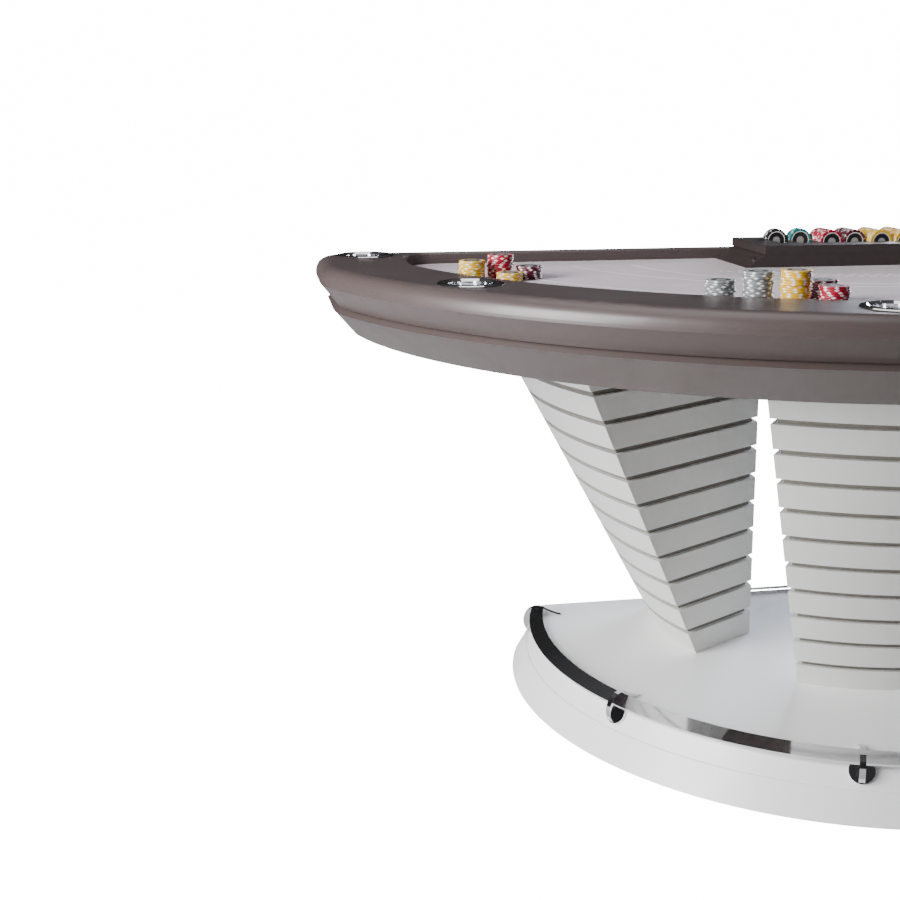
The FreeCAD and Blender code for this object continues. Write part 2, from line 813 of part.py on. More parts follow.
def bracket(back):
    """Hook that holds the strip: tail on the lid, arch over the strip, rosette on the side."""
    slope = side_slope(back)
    skin = 0.2
    low = -30.0
    tip = Vector(0, -strip_overlap - 34, skin)
    tail = Vector(0, -strip_overlap - 33, 2.4)
    rise = Vector(0, -strip_overlap - 16, strip_rise - 3)
    neck = Vector(0, -strip_overlap + 2, strip_rise + 6)
    crown = Vector(0, -strip_overlap + 14, strip_rise + 7)
    brow = Vector(0, strip_reach - strip_overlap + 8, 5)
    cheek = Vector(0, strip_reach - strip_overlap + bracket_bulge - 0.1, -10)
    chin = Vector(0, skin - low * slope + 4, low)
    heel = Vector(0, skin - low * slope, low)
    edge = Vector(0, skin, skin)
    edges = [
        Part.LineSegment(tip, tail).toShape(),
        Part.Arc(tail, rise, neck).toShape(),
        Part.Arc(neck, crown, brow).toShape(),
        Part.Arc(brow, cheek, chin).toShape(),
        Part.LineSegment(chin, heel).toShape(),
        Part.LineSegment(heel, edge).toShape(),
        Part.LineSegment(edge, tip).toShape(),
    ]
    plate = Part.Face(Part.Wire(edges)).extrude(Vector(bracket_width, 0, 0))
    plate.translate(Vector(-bracket_width / 2, 0, plinth_height))
    shape = plate.fuse(rosette(slope, skin))
    slot = section_face(strip_section(bracket_slot)).extrude(Vector(4 * rosette_radius, 0, 0))
    slot.translate(Vector(-2 * rosette_radius, 0, 0))
    return shape.cut(slot)


def rosette(slope, skin):
    """Round plate on the plinth's side under the strip, cut off below the strip."""
    out = Vector(0, 1, slope).normalize()
    middle = Vector(0, skin + rosette_drop * slope, plinth_height - rosette_drop) + out * skin
    disc = Part.makeCylinder(rosette_radius, rosette_thickness, middle, out)
    keep = box(-rosette_radius, rosette_radius, -60, 60, 0, plinth_height - rosette_cut)
    return disc.common(keep)


def front_brackets():
    """One hook at each angle, left and right of the front."""
    hooks = []
    for angle in bracket_angles:
        for side in (-1, 1):
            hook = bracket(False)
            hook.translate(Vector(0, plinth_centre_y + plinth_top_radius, 0))
            hook.rotate(Vector(0, plinth_centre_y, 0), UP, 180 + side * angle)
            hooks.append(hook)
    return hooks


def dealer_brackets():
    hooks = []
    for side in (-1, 1):
        hook = bracket(True)
        hook.translate(Vector(side * dealer_bracket_x, edge_y + plinth_back_top, 0))
        hooks.append(hook)
    return hooks


# ---------------------------------------------------------------- write the nodes
def write_top():
    save("arm_rail", arm_rail())
    save("lower_fascia", lower_fascia())
    save("playing_board", playing_board())
    save("foam_underlay", slab(field_wire(-layer_gap, board_z), foam_thickness))
    save("playing_cloth", slab(field_wire(-layer_gap, foam_z), cloth_thickness))
    save("rail_screws", rail_screws())
    save("underside_panel", underside_panel())
    save("top_frame", top_frame())
    for number, (x, y) in enumerate(cup_places(), 1):
        save("cup_holder_%d" % number, cup_holder(x, y))


def write_float():
    save("float_frame", float_frame())
    save("float_insert", float_insert())
    save("float_bearers", float_ledges())
    save("float_lock", float_lock())
    for index, name in enumerate(tube_names):
        save("tube_chips_%s" % name, tube_chips(index))
    for name, x, y, count, sway in stacks:
        save(name, chip_stack(x, y, count, sway))


def write_legs():
    for name, leg in (("front_leg", front_leg()), ("left_leg", left_leg())):
        save(name + "_carcass", leg_carcass(leg))
        save(name + "_boards", leg_boards(leg))
    save("right_leg_carcass", [mirrored(panel) for panel in leg_carcass(left_leg())])
    save("right_leg_boards", [mirrored(board) for board in leg_boards(left_leg())])
    head_z = underside_z - plate_thickness
    for name, z in (("leg_head_plates", head_z), ("leg_foot_plates", plinth_height)):
        side = leg_plate(left_leg(), z)
        save(name, [leg_plate(front_leg(), z), side, mirrored(side)])
    length = panel_thickness + plate_thickness + 4
    save("leg_head_bolts", bolts_down(head_bolt_places(), panel_z, length))
    length = lid_thickness + plate_thickness + 4
    save("leg_foot_bolts", bolts_up(foot_bolt_places(), plinth_height - lid_thickness, length))


def write_plinth():
    save("plinth_lid", plinth_lid())
    save("plinth_skirt", plinth_skirt())
    save("plinth_cross", plinth_cross())
    places = [(x, edge_y + y) for x, y in foot_places]
    save("foot_sockets", [foot_socket(x, y) for x, y in places])
    for number, (x, y) in enumerate(places, 1):
        save("levelling_foot_%d" % number, levelling_foot(x, y))
    half_gap = math.degrees(strip_joint_gap / 2 / plinth_top_radius)
    save("foot_rail_centre", swept_strip(-strip_joint + half_gap, strip_joint - half_gap))
    save("foot_rail_left", swept_strip(strip_joint + half_gap, strip_end))
    save("foot_rail_right", swept_strip(-strip_end, -strip_joint - half_gap))
    save("foot_rail_dealer", dealer_strip())
    save("foot_rail_brackets", front_brackets())
    save("dealer_rail_brackets", dealer_brackets())


os.makedirs("parts", exist_ok=True)
write_top()
write_float()
write_legs()
write_plinth()
print("dealer's edge at y = %.1f" % edge_y)
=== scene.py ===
import bmesh
import bpy
import math
from mathutils import Euler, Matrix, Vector


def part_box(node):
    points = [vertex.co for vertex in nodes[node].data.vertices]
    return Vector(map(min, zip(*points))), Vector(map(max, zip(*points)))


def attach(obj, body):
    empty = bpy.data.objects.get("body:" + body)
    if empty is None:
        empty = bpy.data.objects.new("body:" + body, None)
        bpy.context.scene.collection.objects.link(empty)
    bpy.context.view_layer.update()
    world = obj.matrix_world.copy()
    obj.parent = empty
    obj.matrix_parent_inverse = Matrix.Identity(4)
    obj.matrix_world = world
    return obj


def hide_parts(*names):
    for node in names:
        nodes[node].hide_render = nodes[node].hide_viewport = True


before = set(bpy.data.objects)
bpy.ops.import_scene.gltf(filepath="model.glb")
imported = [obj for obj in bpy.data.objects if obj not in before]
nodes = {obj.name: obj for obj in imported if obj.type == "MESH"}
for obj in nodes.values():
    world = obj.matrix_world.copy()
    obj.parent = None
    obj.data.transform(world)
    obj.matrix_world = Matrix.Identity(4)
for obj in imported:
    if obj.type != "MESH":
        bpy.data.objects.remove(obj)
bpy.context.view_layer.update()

# ---------------------------------------------------------------- plinth
# A D-shaped platform of board: a lid whose side leans out to a crease, and a skirt below it.
# Both are sprayed with white satin lacquer, which is scuffed where feet and mops reach it.
lacquer_white = (0.90, 0.90, 0.90)
scuff_grey = (0.50, 0.49, 0.47)
scuff_height = 0.035


def add_node(tree, kind, inputs=None, **settings):
    """A node of this kind with its settings made and its inputs set or linked."""
    made = tree.nodes.new(kind)
    for name, value in settings.items():
        setattr(made, name, value)
    for key, value in (inputs or {}).items():
        if isinstance(value, bpy.types.NodeSocket):
            tree.links.new(value, made.inputs[key])
        else:
            made.inputs[key].default_value = value
    return made


def maths(tree, operation, *values):
    """Output of one arithmetic step on numbers or sockets."""
    return add_node(tree, "ShaderNodeMath", dict(enumerate(values)), operation=operation).outputs[0]


def out_from_axis(tree, x, y):
    """Distance from the axis where x and y are both nought."""
    squares = maths(tree, "ADD", maths(tree, "MULTIPLY", x, x), maths(tree, "MULTIPLY", y, y))
    return maths(tree, "SQRT", squares)


def blended(tree, share, first, second):
    """Colour that goes from first to second as share goes from 0 to 1."""
    mix = add_node(tree, "ShaderNodeMix", {"Factor": share}, data_type="RGBA")
    for index, colour in ((6, first), (7, second)):
        if isinstance(colour, bpy.types.NodeSocket):
            tree.links.new(colour, mix.inputs[index])
        else:
            mix.inputs[index].default_value = (*colour, 1)
    return mix.outputs[2]


def cloud(tree, scale, detail=4.0, roughness=0.55, stretch=(1, 1, 1)):
    """Soft noise in the piece's own coordinates; scale is in waves per metre."""
    place = add_node(tree, "ShaderNodeTexCoord").outputs["Object"]
    turned = add_node(tree, "ShaderNodeMapping", {"Vector": place, "Scale": stretch}).outputs[0]
    wanted = {"Vector": turned, "Scale": scale, "Detail": detail, "Roughness": roughness}
    return add_node(tree, "ShaderNodeTexNoise", wanted).outputs["Fac"]


def spread(tree, value, low, high, first=0.0, second=1.0):
    """Value between low and high, stretched to run from first to second."""
    wanted = {0: value, 1: low, 2: high, 3: first, 4: second}
    return add_node(tree, "ShaderNodeMapRange", wanted).outputs[0]


def bumped(tree, height, distance, strength=1.0):
    wanted = {"Height": height, "Distance": distance, "Strength": strength}
    return add_node(tree, "ShaderNodeBump", wanted).outputs[0]


def new_finish(name):
    """An empty material and the parts of it that every finish sets."""
    finish = bpy.data.materials.new(name)
    finish.use_nodes = True
    tree = finish.node_tree
    return finish, tree, tree.nodes["Principled BSDF"]


def feed(tree, shader, **sockets):
    """Link each output to the shader's socket of that name."""
    for name, output in sockets.items():
        tree.links.new(output, shader.inputs[name.replace("_", " ")])


def lacquer(name, colour, worn, gloss, peel=0.00002, worn_below=None):
    """Sprayed satin lacquer: slight clouding, orange peel and scuffs that show the worn colour."""
    finish, tree, shader = new_finish(name)
    clouding = spread(tree, cloud(tree, 3.0), 0.3, 0.7, 0.0, 0.10)
    scuffs = spread(tree, cloud(tree, 26.0, 8.0, 0.7, (1, 1, 3)), 0.66, 0.74, 0.0, 0.30)
    if worn_below is not None:
        place = add_node(tree, "ShaderNodeTexCoord").outputs["Object"]
        height = add_node(tree, "ShaderNodeSeparateXYZ", {0: place}).outputs[2]
        low = spread(tree, height, worn_below, 0.0, 0.15, 1.0)
        scuffs = maths(tree, "MULTIPLY", scuffs, low)
    else:
        scuffs = maths(tree, "MULTIPLY", scuffs, 0.15)
    marks = maths(tree, "ADD", clouding, scuffs)
    sheen = spread(tree, cloud(tree, 9.0, 6.0), 0.3, 0.7, gloss - 0.04, gloss + 0.06)
    texture = bumped(tree, cloud(tree, 900.0, 2.0), peel, 0.6)
    feed(tree, shader, Base_Color=blended(tree, marks, colour, worn), Roughness=sheen, Normal=texture)
    shader.inputs["Specular IOR Level"].default_value = 0.5
    shader.inputs["Coat Weight"].default_value = 0.15
    shader.inputs["Coat Roughness"].default_value = 0.22
    return finish


def paint(names, finish):
    """Give CAD nodes a finish."""
    for name in names:
        for held in nodes[name].material_slots:
            held.material = finish


paint(["plinth_lid", "plinth_skirt"],
      lacquer("plinth lacquer", lacquer_white, scuff_grey, 0.36, worn_below=scuff_height))

# The bearers under the lid are plain plywood, glued in a cross, with the layers on their edges.
ply_face = (0.56, 0.40, 0.24)
ply_dark = (0.33, 0.20, 0.10)
ply_layer = 0.0015


def plywood(name, pale, deep):
    """Birch plywood: long soft grain on the faces, and thin dark layers on the edges."""
    finish, tree, shader = new_finish(name)
    place = add_node(tree, "ShaderNodeTexCoord").outputs["Object"]
    height = add_node(tree, "ShaderNodeSeparateXYZ", {0: place}).outputs[2]
    layers = maths(tree, "PINGPONG", height, ply_layer)
    layers = spread(tree, layers, 0.0, ply_layer, 0.0, 0.5)
    grain = cloud(tree, 14.0, 8.0, 0.65, (0.4, 6, 6))
    normal = add_node(tree, "ShaderNodeNewGeometry").outputs["Normal"]
    facing = add_node(tree, "ShaderNodeSeparateXYZ", {0: normal})
    edge = maths(tree, "SUBTRACT", 1.0, maths(tree, "ABSOLUTE", facing.outputs[2]))
    streaks = spread(tree, grain, 0.35, 0.75, 0.0, 0.6)
    dark = maths(tree, "ADD", streaks, maths(tree, "MULTIPLY", edge, layers))
    feed(tree, shader, Base_Color=blended(tree, dark, pale, deep),
         Roughness=spread(tree, grain, 0.3, 0.7, 0.55, 0.75), Normal=bumped(tree, grain, 0.0004, 0.5))
    return finish


bare_ply = plywood("bare plywood", ply_face, ply_dark)
paint(["plinth_cross"], bare_ply)

# Levelling feet: turned steel pads with stems that screw into steel sockets under the lid.
turned_tone = (0.38, 0.38, 0.39)


def steel(name, tone, gloss, fineness, stretch=(1, 1, 1), metal=1.0):
    """Machined steel: fine cutting marks, cloudy reflections and a few darker stains."""
    finish, tree, shader = new_finish(name)
    marks = cloud(tree, fineness, 3.0, 0.6, stretch)
    stains = spread(tree, cloud(tree, 12.0, 6.0), 0.55, 0.8, 0.0, 0.4)
    darker = tuple(0.6 * part for part in tone)
    feed(tree, shader, Base_Color=blended(tree, stains, tone, darker),
         Roughness=spread(tree, marks, 0.3, 0.7, gloss, gloss + 0.10),
         Normal=bumped(tree, marks, 0.00002, 0.5))
    shader.inputs["Metallic"].default_value = metal
    return finish


paint(["foot_sockets"] + ["levelling_foot_%d" % number for number in range(1, 6)],
      steel("turned steel", turned_tone, 0.32, 700.0, (1, 1, 4)))

# ---------------------------------------------------------------- foot rail
# Flat steel bar, bent round the plinth and mirror polished, in hooked brackets of the same steel
# that are screwed to the plinth's side through round rosettes.
mirror_tone = (0.74, 0.74, 0.76)


def polished(name, tone, gloss):
    """Buffed metal: a clear mirror with faint swirls, smears and hairline scratches."""
    finish, tree, shader = new_finish(name)
    smears = spread(tree, cloud(tree, 18.0, 7.0, 0.6), 0.45, 0.8, 0.0, 0.10)
    hairs = spread(tree, cloud(tree, 160.0, 2.0, 0.5, (1, 1, 14)), 0.62, 0.70, 0.0, 0.06)
    rough = maths(tree, "ADD", maths(tree, "ADD", smears, hairs), gloss)
    dull = tuple(0.8 * part for part in tone)
    feed(tree, shader, Base_Color=blended(tree, maths(tree, "MULTIPLY", smears, 3.0), tone, dull),
         Roughness=rough, Normal=bumped(tree, hairs, 0.00003, 0.3))
    shader.inputs["Metallic"].default_value = 1.0
    return finish


paint(["foot_rail_left", "foot_rail_centre", "foot_rail_right", "foot_rail_dealer", "foot_rail_brackets",
       "dealer_rail_brackets"], polished("mirror polished steel", mirror_tone, 0.05))

# ---------------------------------------------------------------- legs
# Wedge-shaped box legs: courses of mitred boards in white satin lacquer, stood off by grooves that
# show the carcass behind, painted dark grey as painted shade in the grooves. Steel plates inside take the
# bolts at head and foot.
# painted shade: the carcass is a dark grey that stands in for the shade inside the grooves, with lighter
# dusty marks
groove_painted_shade = (0.20, 0.19, 0.165)
groove_dusty_shade = (0.34, 0.33, 0.30)
# painted shade: the boards' white is set greyer than the plinth's same white lacquer, for the shade under the
# top
board_white_in_painted_shade = (0.68, 0.68, 0.665)
board_worn = (0.50, 0.49, 0.46)

# the boards' lacquer is a greyer white, as painted shade under the top
paint(["front_leg_boards", "left_leg_boards", "right_leg_boards"],
      lacquer("leg lacquer", board_white_in_painted_shade, board_worn, 0.42))
# the carcass is painted dark as painted shade in the grooves
paint(["front_leg_carcass", "left_leg_carcass", "right_leg_carcass"],
      lacquer("groove stain", groove_painted_shade, groove_dusty_shade, 0.62, 0.00006))
paint(["leg_head_plates", "leg_foot_plates"],
      steel("rolled steel plate", (0.20, 0.20, 0.21), 0.45, 120.0))
paint(["leg_head_bolts", "leg_foot_bolts", "rail_screws"],
      steel("zinc plate", (0.58, 0.58, 0.60), 0.28, 300.0))

# ---------------------------------------------------------------- inside of the top
# Underside panel, frame with cross beams and playing board are plywood; the panel's colour is darkened as
# painted shade under the top, which the mirror-polished foot rail reflects. A thin closed-cell foam lies on
# the board under the cloth.
paint(["top_frame", "playing_board"], bare_ply)
# painted shade: the underside panel gets a near-black plywood colour for the shade under the top
paint(["underside_panel"], plywood("stained plywood", (0.10, 0.080, 0.075), (0.05, 0.04, 0.038)))


def foam_sheet(name):
    """Dark closed-cell foam with small pores."""
    finish, tree, shader = new_finish(name)
    place = add_node(tree, "ShaderNodeTexCoord").outputs["Object"]
    pores = add_node(tree, "ShaderNodeTexVoronoi", {"Vector": place, "Scale": 900.0}).outputs["Distance"]
    feed(tree, shader, Base_Color=blended(tree, pores, (0.05, 0.05, 0.055), (0.11, 0.11, 0.12)),
         Normal=bumped(tree, pores, 0.0004))
    shader.inputs["Roughness"].default_value = 0.85
    return finish


paint(["foam_underlay"], foam_sheet("foam"))

# ---------------------------------------------------------------- fascia and arm rail
# Both are built up in shaped timber and sprayed with taupe satin lacquer; the fascia is glued under
# the rail, and the rail is screwed down through the playing board.
taupe = (0.074, 0.056, 0.054)
taupe_fascia = (0.078, 0.058, 0.055)
taupe_worn = (0.14, 0.12, 0.12)

paint(["lower_fascia"], lacquer("fascia lacquer", taupe_fascia, taupe_worn, 0.40))
paint(["arm_rail"], lacquer("rail lacquer", taupe, taupe_worn, 0.36))

# ---------------------------------------------------------------- playing cloth
# Short-nap mauve cloth, cut to the field, stretched over the foam and tucked under the rail, with a
# printed layout of plain pale lines and dashes.
cloth_low, cloth_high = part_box("playing_cloth")
dealer_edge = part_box("arm_rail")[1].y
field_radius = 0.8295
field_blend = 0.1545
field_corner = 0.0495
cloth_colour = (0.40, 0.30, 0.34)
cloth_dark = (0.28, 0.20, 0.235)
print_colour = (0.92, 0.90, 0.91)
line_width = 0.0016
# printed rings: radius, and place of the centre from the dealer's edge
printed_rings = ((0.533, 0.025), (0.412, -0.060), (0.690, 0.025))
printed_dashes = ((0.372, 0.025, 58), (0.392, 0.025, 64))
dash_width = 0.003
# rings and dashes stop this far in front of the dealer's edge
ring_stop = 0.130
dash_stop = 0.240


def arc(x, y, radius, first, last, steps):
    """Points along an arc, without the first one."""
    angles = [first + (last - first) * step / steps for step in range(1, steps + 1)]
    return [(x + radius * math.cos(angle), y + radius * math.sin(angle)) for angle in angles]


def field_outline():
    """Points round the cloth: the round front, the blends to the straight ends and the back corners."""
    centre = dealer_edge + 0.025
    side, back = cloth_high.x, cloth_high.y
    blend_x = side - field_blend
    blend_y = centre - math.sqrt((field_radius - field_blend) ** 2 - blend_x ** 2)
    meet = math.atan2(blend_y - centre, blend_x)
    right = arc(0.0, centre, field_radius, -math.pi / 2, meet, 48)
    right += arc(blend_x, blend_y, field_blend, meet, 0.0, 10)
    right += arc(side - field_corner, back - field_corner, field_corner, 0.0, math.pi / 2, 12)
    left = [(-x, y) for x, y in reversed(right)]
    return right + left + [(0.0, centre - field_radius)]


def felted_cloth(name):
    """Napped cloth: crossed threads under a soft fuzz, brushed patches, and printed lines."""
    finish, tree, shader = new_finish(name)
    place = add_node(tree, "ShaderNodeTexCoord").outputs["Object"]
    axes = add_node(tree, "ShaderNodeSeparateXYZ", {0: place})
    threads = []
    for axis in (0, 1):
        across = maths(tree, "MULTIPLY", axes.outputs[axis], 2 * math.pi / 0.0009)
        threads.append(maths(tree, "SINE", across))
    weave = maths(tree, "MULTIPLY", threads[0], threads[1])
    fuzz = cloud(tree, 1800.0, 3.0, 0.7)
    brushed = cloud(tree, 5.0, 5.0, 0.6, (1, 3, 1))
    tone = blended(tree, spread(tree, brushed, 0.3, 0.75, 0.0, 0.5), cloth_colour, cloth_dark)
    tone = blended(tree, spread(tree, fuzz, 0.3, 0.8, 0.0, 0.35), tone, cloth_dark)
    ink = maths(tree, "MAXIMUM", printed_lines(tree, axes), printed_dash_rows(tree, axes))
    tone = blended(tree, maths(tree, "MULTIPLY", ink, 0.9), tone, print_colour)
    height = maths(tree, "ADD", maths(tree, "MULTIPLY", weave, 0.4), fuzz)
    feed(tree, shader, Base_Color=tone, Normal=bumped(tree, height, 0.0003, 0.5))
    shader.inputs["Roughness"].default_value = 0.85
    shader.inputs["Sheen Weight"].default_value = 0.35
    shader.inputs["Sheen Roughness"].default_value = 0.45
    return finish


def off_centre(tree, axes, setback):
    """Distance and angle of a place on the cloth from a printed ring's centre."""
    x = axes.outputs[0]
    y = maths(tree, "SUBTRACT", axes.outputs[1], dealer_edge + setback)
    return out_from_axis(tree, x, y), maths(tree, "ARCTAN2", y, x)


def printed_lines(tree, axes):
    ink = None
    for radius, setback in printed_rings:
        distance = off_centre(tree, axes, setback)[0]
        gap = maths(tree, "ABSOLUTE", maths(tree, "SUBTRACT", distance, radius))
        front = maths(tree, "LESS_THAN", axes.outputs[1], dealer_edge - ring_stop)
        line = maths(tree, "MULTIPLY", spread(tree, gap, line_width, line_width * 0.6), front)
        ink = line if ink is None else maths(tree, "MAXIMUM", ink, line)
    return ink


def printed_dash_rows(tree, axes):
    ink = None
    for radius, setback, count in printed_dashes:
        distance, angle = off_centre(tree, axes, setback)
        gap = maths(tree, "ABSOLUTE", maths(tree, "SUBTRACT", distance, radius))
        turn = maths(tree, "FRACT", maths(tree, "MULTIPLY", angle, count / math.pi))
        dash = maths(tree, "LESS_THAN", turn, 0.55)
        front = maths(tree, "LESS_THAN", axes.outputs[1], dealer_edge - dash_stop)
        shown = maths(tree, "MULTIPLY", spread(tree, gap, dash_width, dash_width * 0.6), dash)
        line = maths(tree, "MULTIPLY", shown, front)
        ink = line if ink is None else maths(tree, "MAXIMUM", ink, line)
    return ink


def stretched_cloth(name):
    """Thin sheet cut to the field, in rings of faces so that it can dish a little at the edge."""
    outline = field_outline()
    middle = Vector((0.0, dealer_edge - 0.30, 0.0))
    shell = bmesh.new()
    rings = []
    for share in (1.0, 0.985, 0.95, 0.85, 0.65, 0.4, 0.18):
        height = cloth_high.z - (0.0012 if share == 1.0 else 0.0)
        ring = []
        for x, y in outline:
            flat = middle + (Vector((x, y, 0.0)) - middle) * share
            ring.append(shell.verts.new((flat.x, flat.y, height)))
        rings.append(ring)
    for outer, inner in zip(rings, rings[1:]):
        for index in range(len(outline)):
            after = (index + 1) % len(outline)
            shell.faces.new((outer[index], outer[after], inner[after], inner[index]))
    shell.faces.new(rings[-1])
    mesh = bpy.data.meshes.new(name)
    shell.to_mesh(mesh)
    shell.free()
    for face in mesh.polygons:
        face.use_smooth = True
    piece = bpy.data.objects.new(name, mesh)
    bpy.context.scene.collection.objects.link(piece)
    return piece


cloth = stretched_cloth("stretched_cloth")
cloth.data.materials.append(felted_cloth("mauve cloth"))
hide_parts("playing_cloth")
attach(cloth, "table")

# ---------------------------------------------------------------- cup holders
# Spun steel cups with a rolled flange, chromed, dropped into holes in the rail.
paint(["cup_holder_%d" % number for number in range(1, 7)],
      polished("chromed cup", (0.80, 0.80, 0.82), 0.06))

# ---------------------------------------------------------------- chip float
# A raised frame in dark brown satin lacquer stands over the cloth at the dealer's edge. A moulded
# plastic insert with half-round tubes drops into it and rests on two bearers; a small lock is left.
paint(["float_frame", "float_bearers"],
      lacquer("float lacquer", (0.035, 0.026, 0.025), (0.09, 0.075, 0.07), 0.34))
paint(["float_lock"], steel("barrel lock", (0.42, 0.41, 0.40), 0.25, 300.0))


def moulded(name, colour):
    """Injection-moulded plastic with a fine even grain and handling marks."""
    finish, tree, shader = new_finish(name)
    grain = cloud(tree, 2200.0, 2.0)
    marks = spread(tree, cloud(tree, 60.0, 6.0, 0.7), 0.6, 0.8, 0.0, 0.4)
    lighter = tuple(min(1.0, 2.2 * part) for part in colour)
    feed(tree, shader, Base_Color=blended(tree, marks, colour, lighter),
         Roughness=spread(tree, marks, 0.0, 0.4, 0.30, 0.42), Normal=bumped(tree, grain, 0.00005, 0.6))
    return finish


paint(["float_insert"], moulded("dark moulded plastic", (0.055, 0.040, 0.038)))

# ---------------------------------------------------------------- chips
# Moulded clay-filled plastic discs with pale edge spots, a black inlay and a grey centre on both
# faces. They stand in rows in the float's tubes and in loose piles on the cloth.
chip_radius = 0.0205
chip_thickness = 0.0033
chip_sides = 24
chip_bevel = 0.0005
spots_round = 8
spot_white = (0.86, 0.85, 0.82)
inlay_black = (0.018, 0.018, 0.02)
inlay_grey = (0.34, 0.33, 0.33)
chip_colours = {
    "black": (0.020, 0.020, 0.023), "teal": (0.010, 0.22, 0.22), "red": (0.40, 0.004, 0.030),
    "plum": (0.10, 0.006, 0.020), "yellow": (0.78, 0.46, 0.005), "gold": (0.74, 0.40, 0.010),
    "orange": (0.74, 0.28, 0.012), "grey": (0.20, 0.22, 0.235),
}


def chip_blank():
    """One chip as a bevelled disc that remembers each point's place on it."""
    rim = chip_radius - chip_bevel
    profile = [(rim, 0.0), (chip_radius, chip_bevel), (chip_radius, chip_thickness - chip_bevel),
               (rim, chip_thickness)]
    shell = bmesh.new()
    rings = []
    for radius, height in profile:
        ring = []
        for side in range(chip_sides):
            angle = 2 * math.pi * side / chip_sides
            ring.append(shell.verts.new((radius * math.cos(angle), radius * math.sin(angle), height)))
        rings.append(ring)
    for lower, upper in zip(rings, rings[1:]):
        for side in range(chip_sides):
            after = (side + 1) % chip_sides
            shell.faces.new((lower[side], lower[after], upper[after], upper[side]))
    shell.faces.new(list(reversed(rings[0])))
    shell.faces.new(rings[-1])
    mesh = bpy.data.meshes.new("chip blank")
    shell.to_mesh(mesh)
    shell.free()
    place = mesh.attributes.new("chip_place", "FLOAT_VECTOR", "POINT")
    for vertex in mesh.vertices:
        place.data[vertex.index].vector = vertex.co
    for face in mesh.polygons:
        face.use_smooth = len(face.vertices) == 4
    return bpy.data.objects.new("chip blank", mesh)


def chip_finish(name, colour):
    """Edge spots as pale diamonds between the colour, and rings on the face."""
    finish, tree, shader = new_finish(name)
    place = add_node(tree, "ShaderNodeAttribute", attribute_name="chip_place").outputs["Vector"]
    axes = add_node(tree, "ShaderNodeSeparateXYZ", {0: place})
    x, y, z = axes.outputs
    radius = out_from_axis(tree, x, y)
    turn = maths(tree, "MULTIPLY", maths(tree, "ARCTAN2", y, x), spots_round / (2 * math.pi))
    along = maths(tree, "ABSOLUTE", maths(tree, "SUBTRACT", maths(tree, "FRACT", turn), 0.5))
    level = maths(tree, "ABSOLUTE", maths(tree, "SUBTRACT", maths(tree, "DIVIDE", z, chip_thickness), 0.5))
    reach = maths(tree, "ADD", maths(tree, "MULTIPLY", along, 1.7), maths(tree, "MULTIPLY", level, 0.7))
    spot = spread(tree, reach, 0.40, 0.37)
    outer = maths(tree, "GREATER_THAN", radius, 0.74 * chip_radius)
    spot = maths(tree, "MULTIPLY", spot, outer)
    speckle = cloud(tree, 1500.0, 3.0)
    darker = tuple(0.6 * part for part in colour)
    body = blended(tree, spread(tree, speckle, 0.45, 0.8, 0.0, 0.3), colour, darker)
    tone = blended(tree, spot, body, spot_white)
    ring = maths(tree, "LESS_THAN", radius, 0.78 * chip_radius)
    pale = maths(tree, "LESS_THAN", radius, 0.71 * chip_radius)
    heart = maths(tree, "LESS_THAN", radius, 0.34 * chip_radius)
    tone = blended(tree, ring, tone, spot_white)
    tone = blended(tree, pale, tone, inlay_black)
    tone = blended(tree, heart, tone, inlay_grey)
    wear = cloud(tree, 240.0, 6.0, 0.7)
    feed(tree, shader, Base_Color=tone, Roughness=spread(tree, wear, 0.3, 0.7, 0.32, 0.5),
         Normal=bumped(tree, speckle, 0.00004, 0.6))
    return finish


def pile_tree(name):
    """Nodes that set out chips in a row: count, pitch, sway, seed, tilt and place are named inputs."""
    tree = bpy.data.node_groups.new(name, "GeometryNodeTree")
    tree.is_modifier = True
    sides = tree.interface
    sides.new_socket("Geometry", in_out="INPUT", socket_type="NodeSocketGeometry")
    for title, kind in (("Chip", "Object"), ("Count", "Int"), ("Pitch", "Float"), ("Sway", "Float"),
                        ("Seed", "Int"), ("Tilt", "Vector"), ("Place", "Vector"), ("Finish", "Material")):
        sides.new_socket(title, in_out="INPUT", socket_type="NodeSocket" + kind)
    sides.new_socket("Geometry", in_out="OUTPUT", socket_type="NodeSocketGeometry")
    given = add_node(tree, "NodeGroupInput").outputs
    step = add_node(tree, "ShaderNodeCombineXYZ", {2: given["Pitch"]}).outputs[0]
    row = add_node(tree, "GeometryNodeMeshLine", {"Count": given["Count"], "Offset": step})
    below = maths(tree, "MULTIPLY", given["Sway"], -1.0)
    low = add_node(tree, "ShaderNodeCombineXYZ", {0: below, 1: below}).outputs[0]
    high = add_node(tree, "ShaderNodeCombineXYZ", {0: given["Sway"], 1: given["Sway"]}).outputs[0]
    shift = add_node(tree, "FunctionNodeRandomValue", {0: low, 1: high, "Seed": given["Seed"]},
                     data_type="FLOAT_VECTOR").outputs[0]
    swayed = add_node(tree, "GeometryNodeSetPosition", {"Geometry": row.outputs[0], "Offset": shift})
    turn = add_node(tree, "FunctionNodeRandomValue", {2: 0.0, 3: 2 * math.pi, "Seed": given["Seed"]},
                    data_type="FLOAT").outputs[1]
    turned = add_node(tree, "ShaderNodeCombineXYZ", {2: turn}).outputs[0]
    blank = add_node(tree, "GeometryNodeObjectInfo", {"Object": given["Chip"]})
    chips = add_node(tree, "GeometryNodeInstanceOnPoints",
                     {"Points": swayed.outputs[0], "Instance": blank.outputs["Geometry"], "Rotation": turned})
    where = {"Geometry": chips.outputs[0], "Rotation": given["Tilt"], "Translation": given["Place"]}
    stood = add_node(tree, "GeometryNodeTransform", where)
    real = add_node(tree, "GeometryNodeRealizeInstances", {"Geometry": stood.outputs[0]})
    done = add_node(tree, "GeometryNodeSetMaterial",
                    {"Geometry": real.outputs[0], "Material": given["Finish"]})
    tree.links.new(done.outputs[0], add_node(tree, "NodeGroupOutput").inputs[0])
    return tree


